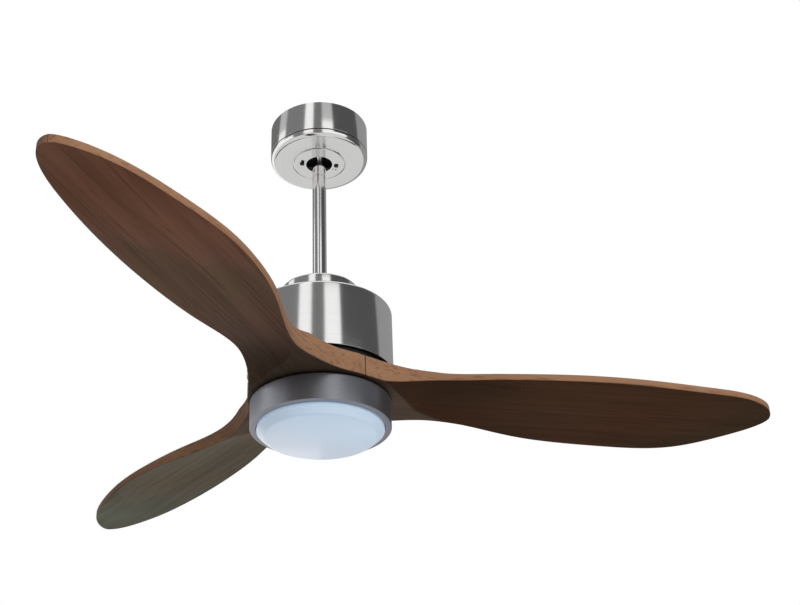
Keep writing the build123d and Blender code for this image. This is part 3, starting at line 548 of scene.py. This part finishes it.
# Half profile of the bowl drawn in by a distance: rim, upright stretch, tapering side, round corner, crown.
# The crown is part of a sphere, and the side line r = r0 - slope (z0 - z) meets it at (r1, z1).
def bowlProfile(inset, rimZ, mouthZ):
    shape = bowlShape
    slope = (shape["rim"] - shape["foot"]) / (shape["side"] - shape["straight"])
    sphere = (shape["foot"] ** 2 + shape["crown"] ** 2) / (2 * shape["crown"])
    centreZ = mouthZ - shape["side"] - shape["crown"] + sphere
    big = sphere - inset
    r0, z0 = shape["rim"] - inset, mouthZ - shape["straight"]
    a = 1 + slope ** 2
    b = 2 * (r0 - slope * z0) * slope - 2 * centreZ
    c = (r0 - slope * z0) ** 2 + centreZ ** 2 - big ** 2
    z1 = (-b - math.sqrt(b * b - 4 * a * c)) / (2 * a)
    r1 = r0 - slope * (z0 - z1)
    swing = math.asin(r1 / big)
    t = np.linspace(swing, 0, shape["crownSteps"])
    crown = np.stack([big * np.sin(t), centreZ - big * np.cos(t)], axis=1)
    here = np.array([r1, z1])
    far = here - np.array([math.cos(swing), math.sin(swing)])
    corner = cornerArc(np.array([r0, z0]), here, far, shape["corner"] - inset, shape["cornerSteps"])
    return np.vstack([[(r0, rimZ), (r0, z0 + shape["band"]), (r0, z0)], corner, crown[crown[:, 0] < corner[-1, 0]]])


# Bayonet lug: a block of (r, z) carried along a short arc round the axis
def buildLug(k, mouthZ, material):
    shape = bowlShape
    inner, outer = shape["rim"] - shape["lugRoot"], shape["rim"] + shape["lugReach"]
    low = mouthZ + shape["lugRest"]
    r = np.array([inner, outer, outer, inner])[None, :]
    z = np.array([low, low, low + shape["lugHeight"], low + shape["lugHeight"]])[None, :]
    middle = shape["firstLug"] + 360 / shape["lugs"] * k
    a = np.radians(middle + shape["lugSpan"] * np.linspace(-0.5, 0.5, shape["lugSteps"] + 1))[:, None]
    points = np.stack(np.broadcast_arrays(r * np.cos(a), r * np.sin(a), z), axis=-1)
    lug = finishMesh(gridMesh("lug", points, False, True, capEnds=True))
    lug.data.materials.append(material)
    return lug


def buildBowl():
    opal = opalAcrylic()
    rimZ, mouthZ = highest("diffuser"), lowest("light_pan")
    outside = bowlProfile(0, rimZ, mouthZ)
    inside = bowlProfile(bowlShape["wall"], rimZ, mouthZ)
    bowl = turnedMesh("opalBowl", np.vstack([outside, inside[::-1]]))
    standFor(bowl, "diffuser", "diffuser", opal)
    lugs = [buildLug(k, mouthZ, opal) for k in range(bowlShape["lugs"])]
    with bpy.context.temp_override(active_object=bowl, selected_editable_objects=[bowl, *lugs]):
        bpy.ops.object.join()


buildCanopy()
buildRod()
for cup in cupShapes:
    buildCup(cup)
buildPan()
buildBowl()
print("turned shells and bowl")


# millimetres, the blade pointing along x with its trailing edge towards y, heights above its flat underside
bladeShape = {
    "trail": [(52.5, 90.93), (86, 67), (122, 52), (168, 43), (232, 53), (307, 75), (392, 87), (480, 84), (568, 62),
              (628, 30), (652, 9)],
    "tip": (662, -9),
    "lead": [(656, -27), (636, -43), (556, -63), (440, -73), (330, -70), (244, -60), (165, -50), (104, -64),
             (52.5, -90.93)],
    "thick": 30, "inner": 30,
    # butt seams with the next blades: degrees from the middle line, where they end, what each side is cut back
    "seamSlope": 60, "corner": 52.5, "seamGap": 0.6, "gapEnd": 60,
    # each cut at a distance out: a point of it (across, up) and its slope
    "below": [(60, -110, 0, -0.22), (101, -45, 0, -0.24), (131, 2, -0.5, -0.225), (163, 28, -2, -0.25),
              (195, 46, -5, -0.24), (262, 62, -7.5, -0.197), (350, 83, -10, -0.164), (450, 87, -13, -0.164),
              (550, 68, -15, -0.19), (620, 37, -7, -0.185), (675, -10, 0, -0.2)],
    "above": [(130, -60, 34, 0), (165, -50, 29.5, -0.06), (195, -51, 28, -0.11), (262, -63, 26, -0.13),
              (330, -70, 25, -0.147), (440, -73, 22.5, -0.157), (550, -62, 19, -0.19), (620, -52, 18, -0.185),
              (675, -30, 14, -0.2)],
    # underside of the hub by radius: flat under the motor, then falling away
    "fall": [(0, 0), (120, 0), (160, -2), (200, -5), (260, -22), (700, -90)],
    "cutReach": 130, "crease": 1.2, "upperCrease": 0.8, "sharpAngle": 35,
    # how x and y start and end along the curve round the blade
    "endsX": (0.86, -0.86), "endsY": (-0.5, -0.5), "curveSteps": 8000,
    # corner between a face and a wall: radius, most of the blade's width, degrees round it, how much of the lighter
    # wall colour it takes
    "arris": 1.0, "arrisShare": 1 / 6, "arrisTurn": (30, 60, 90), "arrisTone": (0.3, 0.7, 1.0),
    # rows of points across the blade: near the hub, along the blade, over the last stretch
    "across": 96, "nearRows": 190, "farRows": 190, "tipRows": 40, "nearEnd": 215, "tipStretch": 14, "tipGap": 0.02,
}


# Cubic through the points with continuous curvature: one linear system gives the second derivatives
def smoothCurve(x, y, at, slopes=None):
    x, y, at = (np.asarray(v, float) for v in (x, y, at))
    n = len(x)
    h, rise = np.diff(x), np.diff(y)
    a, b = np.eye(n), np.zeros(n)
    k = np.arange(1, n - 1)
    a[k, k - 1], a[k, k], a[k, k + 1] = h[:-1], 2 * (h[:-1] + h[1:]), h[1:]
    b[1:-1] = 6 * (rise[1:] / h[1:] - rise[:-1] / h[:-1])
    if slopes:
        a[0, :2], a[-1, -2:] = (2 * h[0], h[0]), (h[-1], 2 * h[-1])
        b[0], b[-1] = 6 * (rise[0] / h[0] - slopes[0]), 6 * (slopes[1] - rise[-1] / h[-1])
    m = np.linalg.solve(a, b)
    i = np.clip(np.searchsorted(x, at) - 1, 0, n - 2)
    left, right = at - x[i], x[i + 1] - at
    bend = (m[i] * right ** 3 + m[i + 1] * left ** 3) / (6 * h[i])
    return bend + (y[i] / h[i] - m[i] * h[i] / 6) * right + (y[i + 1] / h[i] - m[i + 1] * h[i] / 6) * left


# Both edges from one smooth curve round the blade, by length along its chords, split at the farthest point
def bladeEdges():
    shape = bladeShape
    p = np.array(shape["trail"] + [shape["tip"]] + shape["lead"], float)
    s = np.concatenate([[0], np.cumsum(np.linalg.norm(np.diff(p, axis=0), axis=1))])
    fine = np.linspace(0, s[-1], shape["curveSteps"])
    x = smoothCurve(s, p[:, 0], fine, shape["endsX"])
    y = smoothCurve(s, p[:, 1], fine, shape["endsY"])
    far = np.argmax(x)
    return x[:far + 1], y[:far + 1], x[far:][::-1], y[far:][::-1]


# Height of a cut: straight across at each distance out, its two ends running smoothly from place to place
def cutHeight(cuts, out, across):
    far = bladeShape["cutReach"]
    place, point, up, slope = np.array(cuts, float).T
    out = np.clip(out, place[0], place[-1])
    low = smoothCurve(place, up + slope * (-far - point), out)
    high = smoothCurve(place, up + slope * (far - point), out)
    share = (across + far) / (2 * far)
    return low * (1 - share) + high * share


# The larger of two heights, the corner between them rounded: half of the sum and of the root of the squares
def softMax(a, b, k):
    return 0.5 * (a + b + np.sqrt((a - b) ** 2 + k * k)) - 0.5 * k


def hubHeight(out, across):
    radii, heights = np.array(bladeShape["fall"], float).T
    return np.interp(np.hypot(out, across), radii, heights)


def bladeUnder(out, across):
    return softMax(hubHeight(out, across), cutHeight(bladeShape["below"], out, across), bladeShape["crease"])


def bladeOver(out, across):
    thick = bladeShape["thick"]
    cut = cutHeight(bladeShape["above"], out, across)
    scooped = thick - softMax(0, thick - cut, bladeShape["upperCrease"])
    return np.where(out < bladeShape["above"][0][0], thick, scooped)


# Distances out: close together over the hub and its crease, wider along the blade, closing in towards the tip
def bladeRows(tip):
    shape = bladeShape
    stretch = shape["tipStretch"]
    near = np.linspace(shape["inner"], shape["nearEnd"], shape["nearRows"], endpoint=False)
    far = np.linspace(shape["nearEnd"], tip - stretch, shape["farRows"], endpoint=False)
    last = tip - stretch + stretch * np.sin(np.linspace(0, math.pi / 2, shape["tipRows"]))
    out = np.concatenate([near, far, last])
    out[-1] = tip - shape["tipGap"]
    out[np.argmin(abs(out - shape["corner"]))] = shape["corner"]
    return out


# A loop of points across the blade at each distance out: underside, trailing wall, top, leading wall.
# The corner between a face and a wall is a quarter turn of radius e.
def bladePoints():
    shape = bladeShape
    trailX, trailY, leadX, leadY = bladeEdges()
    out = bladeRows(min(trailX.max(), leadX.max()))
    seam = math.tan(math.radians(shape["seamSlope"]))
    sector = out <= shape["corner"]
    inward = np.where(out <= shape["gapEnd"], shape["seamGap"], 0)
    trail = np.where(sector, out * seam, np.interp(out, trailX, trailY)) - inward
    lead = np.where(sector, -out * seam, np.interp(out, leadX, leadY)) + inward
    out, trail, lead = out[:, None], trail[:, None], lead[:, None]
    e = np.minimum(shape["arris"], (trail - lead) * shape["arrisShare"])
    f = np.linspace(0, 1, shape["across"])[None, :]
    t = np.radians(shape["arrisTurn"])[None, :]
    flat = lead + e + (trail - lead - 2 * e) * f
    trailIn = trail - e + e * np.sin(t)
    leadIn = lead + e - e * np.sin(t)
    lift = e * (1 - np.cos(t))
    flatBack, trailOut, leadOut, drop = (v[:, ::-1] for v in (flat, trailIn, leadIn, lift))
    across = np.concatenate([flat, trailIn, trailOut, flatBack, leadIn, leadOut], axis=1)
    up = np.concatenate([
        bladeUnder(out, flat), bladeUnder(out, trailIn) + lift, bladeOver(out, trailOut) - drop,
        bladeOver(out, flatBack), bladeOver(out, leadIn) - lift, bladeUnder(out, leadOut) + drop], axis=1)
    points = np.stack(np.broadcast_arrays(out, across, up), axis=-1)
    corner, face = shape["arrisTone"], np.zeros(shape["across"])
    tone = np.concatenate([face, corner, corner[::-1], face, corner, corner[::-1]])
    return points, tone


def setPointValue(piece, name, values):
    attribute = piece.data.attributes.new(name, "FLOAT", "POINT")
    attribute.data.foreach_set("value", values.astype(np.float32).ravel())


# The points turned about the axis, and raised so that the top of the plank is at the top of the node
def buildBlade(k, points, tone):
    shape = bladeShape
    node = "blade_%d" % (k + 1)
    degrees = 360 / len(boards) * k
    c, s = math.cos(math.radians(degrees)), math.sin(math.radians(degrees))
    x, y, z = np.moveaxis(points * mm, -1, 0)
    z = z + highest(node) - shape["thick"] * mm
    placed = np.stack([x * c - y * s, x * s + y * c, z], axis=-1)
    blade = gridMesh("carvedBlade%d" % (k + 1), placed, False, True, capEnds=True)
    out, across, up = np.moveaxis(points, -1, 0)
    inHub = out[:, :1] <= shape["corner"]       # the seams keep the dark tone of the faces
    setPointValue(blade, "lighterWallTone", np.where(inHub, 0, tone[None, :]))
    above = hubHeight(out, across) - cutHeight(shape["below"], out, across)
    planed = np.clip(above / shape["crease"] + 0.5, 0, 1)
    setPointValue(blade, "planedHub", np.where(up < shape["thick"] / 2, planed, 0))
    finishMesh(blade, shape["sharpAngle"])
    standFor(blade, node, "rotor", walnut("walnutBlade%d" % (k + 1), degrees, boards[k]))


points, tone = bladePoints()
for k in range(len(boards)):
    buildBlade(k, points, tone)
print("carved blades")


# degrees from the x axis, metres, and the lens as a focal length and a centre in a frame of 800 by 605
cameraPlace = {"azimuth": -96.61, "distance": 1.61515, "height": -1.24965, "pitch": 25.94, "yaw": 1.31,
               "roll": 0.29, "focal": 1250.14, "centre": (294.62, 393.65), "frame": (800, 605),
               "sensor": 36, "seesTo": 60}


# Unit vector towards an angle from the x axis and an angle up from level
def rayTowards(heading, up):
    return Vector((math.cos(heading) * math.cos(up), math.sin(heading) * math.cos(up), math.sin(up)))


def buildCamera():
    place = cameraPlace
    wide, tall = place["frame"]
    heading = math.radians(place["azimuth"] + 180 + place["yaw"])
    pitch, roll = math.radians(place["pitch"]), math.radians(place["roll"])
    forward = rayTowards(heading, pitch)
    right = Vector((math.sin(heading), -math.cos(heading), 0))
    up = right.cross(forward)
    x = right * math.cos(roll) + up * math.sin(roll)
    y = up * math.cos(roll) - right * math.sin(roll)
    data = bpy.data.cameras.new("camera")
    data.sensor_width = place["sensor"]
    data.lens = place["focal"] * data.sensor_width / wide
    data.shift_x = (wide / 2 - place["centre"][0]) / wide
    data.shift_y = (place["centre"][1] - tall / 2) / wide
    data.clip_end = place["seesTo"]
    camera = bpy.data.objects.new("camera", data)
    bpy.context.scene.collection.objects.link(camera)
    turned = Matrix((x, y, -forward)).transposed().to_4x4()
    az = math.radians(place["azimuth"])
    spot = (place["distance"] * math.cos(az), place["distance"] * math.sin(az), place["height"])
    camera.matrix_world = Matrix.Translation(spot) @ turned
    bpy.context.scene.camera = camera


studio = {
    "ambient": 0.26,        # strength that lights matt surfaces
    "floorDown": 5.0,
    "floorHalf": 14.0,
    "floorTone": (0.86, 0.86, 0.86),
    "floorTones": ((0.3, 0.98), (0.7, 1.0)),
    "floorSpeckle": (40.0, 2.0),    # scale, detail
    "floorRough": 0.8,
    "floorGlow": (0.76, 0.22),      # in polished surfaces, and what the camera sees on top
    "floorGlowShare": 0.85,         # the rest is lit, and keeps the shadow
    "cardRadius": 4.0,
    "cardSteps": 23,
    # upright cards that only polished surfaces see: degrees right of the camera, brightness, lowest and highest
    "cards": [(-180, -108, 0.16, 1.2, 6.5), (-108, -84, 0.50, 2.75, 6.5), (-84, -58, 0.20, 1.2, 6.5),
              (-58, -33, 0.20, -2.4, 6.5), (-13, 7, 0.17, -2.4, 6.5), (7, 32, 0.50, 2.75, 6.5),
              (32, 62, 0.085, 0.9, 6.5), (62, 101, 0.085, -2.4, 6.5), (101, 180, 0.30, -2.4, 6.5)],
    # name, degrees right of the camera, degrees up, metres away, size, watts
    "lamps": [("key", 25, 12, 3.0, 1.6, 68), ("under", 175, -19, 3.2, 2.0, 100)],
    "aim": (0, 0, -0.4),
}


# 1 for the camera and for rays off polished or clear surfaces
def seenDirectly(tree):
    path = tree.nodes.new("ShaderNodeLightPath")
    polished = mathNode(tree, "MAXIMUM", path.outputs["Is Glossy Ray"], path.outputs["Is Transmission Ray"])
    return mathNode(tree, "MAXIMUM", path.outputs["Is Camera Ray"], polished)


# White behind the object and in its reflections, plain grey-white light on matt surfaces
def buildWorld():
    world = bpy.data.worlds.new("studio")
    bpy.context.scene.world = world
    world.use_nodes = True
    tree = world.node_tree
    tree.nodes.clear()
    seen = tree.nodes.new("ShaderNodeBackground")
    lit = tree.nodes.new("ShaderNodeBackground")
    lit.inputs[1].default_value = studio["ambient"]
    for background in (seen, lit):
        background.inputs[0].default_value = (1, 1, 1, 1)
    mix = tree.nodes.new("ShaderNodeMixShader")
    tree.links.new(seenDirectly(tree), mix.inputs[0])
    tree.links.new(lit.outputs[0], mix.inputs[1])
    tree.links.new(seen.outputs[0], mix.inputs[2])
    tree.links.new(mix.outputs[0], tree.nodes.new("ShaderNodeOutputWorld").inputs[0])


# Upright card: part of a cylinder round the fan
def buildCard(k, start, end, bright, low, high):
    a = np.radians(cameraPlace["azimuth"] + np.linspace(start, end, studio["cardSteps"] + 1))[:, None]
    z = np.array([low, high])[None, :]
    r = studio["cardRadius"]
    points = np.stack(np.broadcast_arrays(r * np.cos(a), r * np.sin(a), z), axis=-1)
    card = gridMesh("card%d" % k, points, False, False)
    material = bpy.data.materials.new("cardTone%d" % k)
    material.use_nodes = True
    tree = material.node_tree
    tree.nodes.clear()
    glow = tree.nodes.new("ShaderNodeEmission")
    glow.inputs[0].default_value = (bright, bright, bright, 1)
    tree.links.new(glow.outputs[0], tree.nodes.new("ShaderNodeOutputMaterial").inputs[0])
    card.data.materials.append(material)
    card.visible_camera = card.visible_diffuse = card.visible_shadow = card.visible_transmission = False


def buildLamp(name, side, up, away, size, power):
    data = bpy.data.lights.new(name, "AREA")
    data.size = size
    data.energy = power
    lamp = bpy.data.objects.new(name, data)
    bpy.context.scene.collection.objects.link(lamp)
    aim = Vector(studio["aim"])
    lamp.location = aim + away * rayTowards(math.radians(cameraPlace["azimuth"] + side), math.radians(up))
    lamp.rotation_euler = (aim - lamp.location).to_track_quat("-Z", "Y").to_euler()
    lamp.visible_glossy = False


def buildFloor():
    s, z = studio["floorHalf"], -studio["floorDown"]
    corners = np.array([[(-s, -s, z), (-s, s, z)], [(s, -s, z), (s, s, z)]], dtype=float)
    floor = gridMesh("floor", corners, False, False)
    material, tree, shader = newMaterial("paleFloor")
    speckle = noise(tree, objectPlace(tree), *studio["floorSpeckle"])
    tone = toned(tree, speckle, studio["floorTone"], studio["floorTones"])
    tree.links.new(tone, shader.inputs["Base Color"])
    setSockets(shader, {"Roughness": studio["floorRough"]})
    glow = tree.nodes.new("ShaderNodeEmission")
    inPolish, toCamera = studio["floorGlow"]
    path = tree.nodes.new("ShaderNodeLightPath")
    tree.links.new(mathNode(tree, "MULTIPLY_ADD", path.outputs["Is Camera Ray"], toCamera, inPolish), glow.inputs[1])
    mix = tree.nodes.new("ShaderNodeMixShader")
    tree.links.new(mathNode(tree, "MULTIPLY", seenDirectly(tree), studio["floorGlowShare"]), mix.inputs[0])
    tree.links.new(shader.outputs[0], mix.inputs[1])
    tree.links.new(glow.outputs[0], mix.inputs[2])
    tree.links.new(mix.outputs[0], tree.nodes["Material Output"].inputs[0])
    floor.data.materials.append(material)


buildCamera()
buildWorld()
for k, card in enumerate(studio["cards"]):
    buildCard(k + 1, *card)
for lamp in studio["lamps"]:
    buildLamp(*lamp)
buildFloor()
bpy.context.scene.view_settings.view_transform = "Standard"
print("camera and studio")
